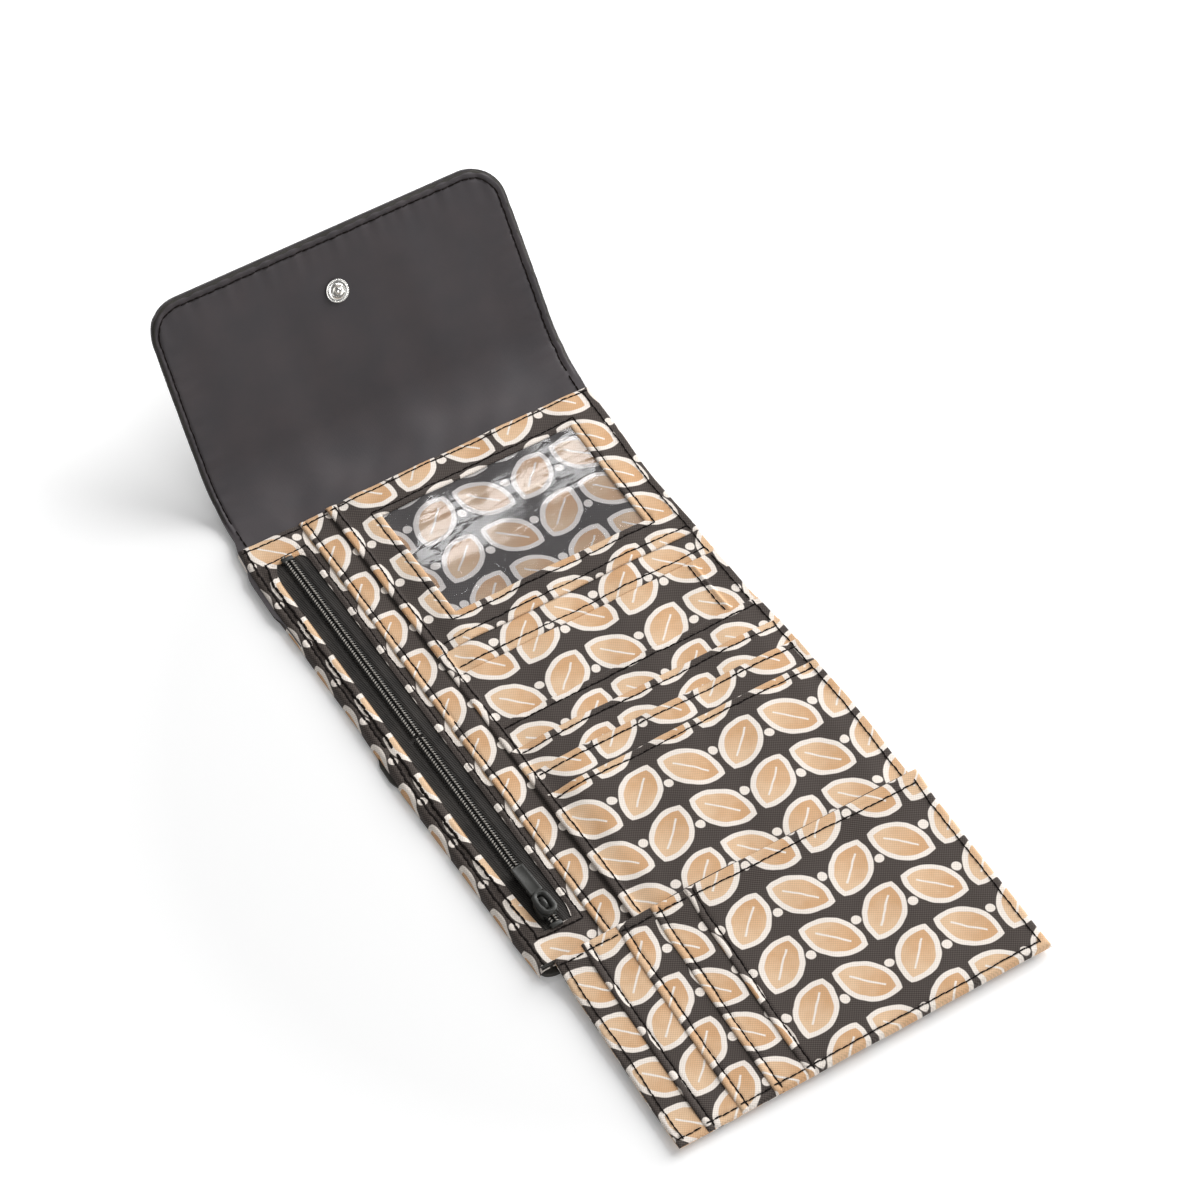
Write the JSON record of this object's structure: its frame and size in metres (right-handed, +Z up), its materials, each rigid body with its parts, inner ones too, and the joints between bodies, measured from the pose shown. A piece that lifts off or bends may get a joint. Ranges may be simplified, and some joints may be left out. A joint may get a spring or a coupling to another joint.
{
  "type": "wallet",
  "caption": "Fold-out fabric wallet lying open, with a zip pocket, an ID window, stepped card slots, a fold-in card leaf and a snap flap.",
  "frame": {"origin": "on the underside of the cover, below the middle of the mid spine, on the centre line", "axes": "+Z up out of the printed inside, +Y along the wallet towards the flap, +X across the wallet, away from the zip"},
  "size_m": [0.142, 0.3472, 0.0669],
  "materials": {
    "quilted_cover": "charcoal quilted cotton over thin padding",
    "flap_lining": "dark grey satin lining",
    "printed_twill": "printed cotton twill, tan and cream motifs on charcoal",
    "zip_tape": "woven zip tape",
    "nylon_coil": "black nylon zip coil",
    "painted_zip_metal": "dark grey painted zip metal",
    "nickel_snap": "polished nickel snap",
    "clear_vinyl": "clear soft vinyl"
  },
  "bodies": {
    "upper_half": {"column_upper": "printed_twill", "cover_upper": "quilted_cover", "id_frame": "printed_twill", "id_window": "clear_vinyl", "lining_upper": "printed_twill", "rear_pocket": "printed_twill", "slip_pocket_upper": "printed_twill", "zip_coil_upper": "nylon_coil", "zip_panel_upper": "printed_twill", "zip_stop_top": "painted_zip_metal", "zip_tape_left_upper": "zip_tape", "zip_tape_right_upper": "zip_tape"},
    "mid_spine": {"column_spine": "printed_twill", "cover_spine": "quilted_cover", "lining_spine": "printed_twill", "slip_pocket_spine": "printed_twill", "zip_border_spine": "printed_twill", "zip_coil_spine": "nylon_coil", "zip_panel_spine": "printed_twill", "zip_tape_left_spine": "zip_tape", "zip_tape_right_spine": "zip_tape"},
    "lower_half": {"card_slot_1": "printed_twill", "card_slot_2": "printed_twill", "card_slot_3": "printed_twill", "card_slot_4": "printed_twill", "column_lower": "printed_twill", "cover_lower": "quilted_cover", "lining_lower": "printed_twill", "slip_pocket_lower": "printed_twill", "snap_socket": "nickel_snap", "zip_coil_lower": "nylon_coil", "zip_panel_lower": "printed_twill", "zip_stop_bottom": "painted_zip_metal", "zip_tape_left_lower": "zip_tape", "zip_tape_right_lower": "zip_tape"},
    "card_leaf": {"tail_back": "printed_twill", "tail_front": "printed_twill", "tail_slot_1": "printed_twill", "tail_slot_2": "printed_twill", "tail_slot_3": "printed_twill", "tail_slot_4": "printed_twill"},
    "flap_spine": {"cover_flap_spine": "quilted_cover", "lining_flap_spine": "flap_lining"},
    "flap": {"cover_flap": "quilted_cover", "lining_flap": "flap_lining", "snap_cap": "nickel_snap", "snap_stud": "nickel_snap"},
    "zip_slider": {"slider": "painted_zip_metal"},
    "zip_pull": {"pull_tab": "painted_zip_metal"}
  },
  "joints": [
    {"name": "near_mid_crease", "type": "hinge", "parent": "upper_half", "child": "mid_spine", "pos_m": [0, 0.00825, 0.00265], "axis": [-1, 0, 0], "range_deg": [0, 90]},
    {"name": "far_mid_crease", "type": "hinge", "parent": "mid_spine", "child": "lower_half", "pos_m": [0, -0.00825, 0.00265], "axis": [-1, 0, 0], "range_deg": [0, 90]},
    {"name": "leaf_fold", "type": "hinge", "parent": "lower_half", "child": "card_leaf", "pos_m": [0, -0.10125, 0.0063], "axis": [-1, 0, 0], "range_deg": [0, 180]},
    {"name": "flap_seam", "type": "hinge", "parent": "upper_half", "child": "flap_spine", "pos_m": [0, 0.10275, 0.00265], "axis": [1, 0, 0], "range_deg": [0, 90]},
    {"name": "flap_crease", "type": "hinge", "parent": "flap_spine", "child": "flap", "pos_m": [0, 0.12295, 0.00265], "axis": [1, 0, 0], "range_deg": [-54.5, 34]},
    {"name": "slider_run", "type": "slide", "parent": "lower_half", "child": "zip_slider", "axis": [0, 1, 0], "range_m": [0, 0.062]},
    {"name": "pull_swing", "type": "hinge", "parent": "zip_slider", "child": "zip_pull", "pos_m": [-0.059, -0.08025, 0.0068], "axis": [1, 0, 0], "range_deg": [0, 180]}
  ]
}
